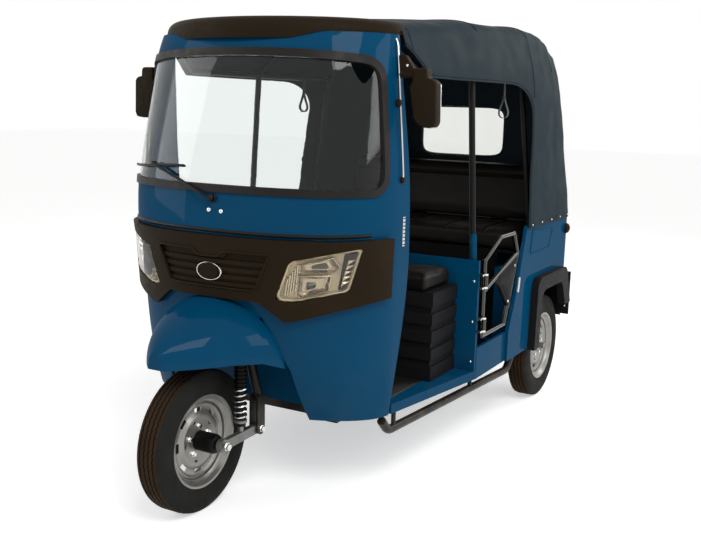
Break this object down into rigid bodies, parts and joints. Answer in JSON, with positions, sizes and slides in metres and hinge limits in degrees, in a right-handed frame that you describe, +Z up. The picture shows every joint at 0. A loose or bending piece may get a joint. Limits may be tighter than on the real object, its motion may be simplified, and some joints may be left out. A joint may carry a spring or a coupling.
{
  "type": "auto rickshaw",
  "caption": "Passenger auto rickshaw with a steered front wheel, an open cab behind a rounded windscreen, a vinyl canopy, a bench seat, half doors and a tail lid.",
  "frame": {"origin": "on the ground below the middle of the vehicle's outer box", "axes": "front faces -Y, the vehicle's left is +X, +Z is up"},
  "size_m": [1.338, 2.6289, 1.8008],
  "materials": {
    "body_blue": "gloss",
    "trim_black": "satin",
    "canopy_vinyl": "matte",
    "seat_vinyl": "satin",
    "frame_black": "satin",
    "rim_silver": "satin",
    "bright_chrome": "polished",
    "steel_grey": "satin",
    "tyre_rubber": "matte",
    "seal_rubber": "matte",
    "clear_glass": "polished",
    "clear_window": "gloss",
    "lamp_lens": "polished",
    "tail_red": "gloss",
    "engine_metal": "matte",
    "strap_web": "matte",
    "spring_black": "gloss"
  },
  "bodies": {
    "root": {"chassis": "frame_black", "steering_head": "frame_black", "damper_towers": "frame_black", "mud_panels": "trim_black", "floor_pan": "body_blue", "lower_front_shell": "body_blue", "front_mask": "trim_black", "headlamps": "lamp_lens", "upper_front_shell": "body_blue", "windscreen_seal": "seal_rubber", "windscreen_glass": "clear_glass", "front_mudguard": "body_blue", "roof_visor": "trim_black", "partition": "body_blue", "driver_seat_base": "trim_black", "driver_seat_cushion": "seat_vinyl", "passenger_seat_base": "frame_black", "passenger_cushion": "seat_vinyl", "passenger_backrest": "seat_vinyl", "rear_body": "body_blue", "wheel_flares": "trim_black", "canopy": "canopy_vinyl", "rear_window": "clear_window", "canopy_frame": "frame_black", "step_bars": "frame_black", "mirrors": "trim_black", "wiper": "frame_black", "tail_lamps": "tail_red", "rear_bumper": "frame_black", "engine": "engine_metal", "rear_axle": "steel_grey", "dashboard": "trim_black", "grab_straps": "strap_web", "door_hinges": "bright_chrome"},
    "steering": {"front_fork": "frame_black", "leading_links": "bright_chrome", "front_shocks": "spring_black", "handlebar": "frame_black"},
    "front_wheel": {"front_tyre": "tyre_rubber", "front_rim": "rim_silver"},
    "rear_wheel_left": {"rear_tyre_left": "tyre_rubber", "rear_rim_left": "rim_silver"},
    "rear_wheel_right": {"rear_tyre_right": "tyre_rubber", "rear_rim_right": "rim_silver"},
    "left_door": {"door_frame_left": "bright_chrome", "door_panel_left": "trim_black"},
    "right_door": {"door_frame_right": "bright_chrome", "door_panel_right": "trim_black"},
    "tail_lid": {"rear_lid": "body_blue"}
  },
  "joints": [
    {"name": "steer", "type": "hinge", "parent": "root", "child": "steering", "pos_m": [0, -0.9445, 0.59], "axis": [0, 0.454, 0.891], "range_deg": [-40, 40]},
    {"name": "front_wheel_roll", "type": "hinge", "parent": "steering", "child": "front_wheel", "pos_m": [0, -1.0605, 0.254], "axis": [1, 0, 0], "continuous": true},
    {"name": "rear_wheel_left_roll", "type": "hinge", "parent": "root", "child": "rear_wheel_left", "pos_m": [0.561, 0.9315, 0.254], "axis": [1, 0, 0], "continuous": true},
    {"name": "rear_wheel_right_roll", "type": "hinge", "parent": "root", "child": "rear_wheel_right", "pos_m": [-0.561, 0.9315, 0.254], "axis": [1, 0, 0], "continuous": true},
    {"name": "left_door_swing", "type": "hinge", "parent": "root", "child": "left_door", "pos_m": [0.63, 0.0455, 0.63], "axis": [0, 0, -1], "range_deg": [0, 100]},
    {"name": "right_door_swing", "type": "hinge", "parent": "root", "child": "right_door", "pos_m": [-0.63, 0.0455, 0.63], "axis": [0, 0, 1], "range_deg": [0, 100]},
    {"name": "tail_lid_swing", "type": "hinge", "parent": "root", "child": "tail_lid", "pos_m": [0, 1.238, 0.843], "axis": [1, 0, 0], "range_deg": [0, 80]}
  ]
}
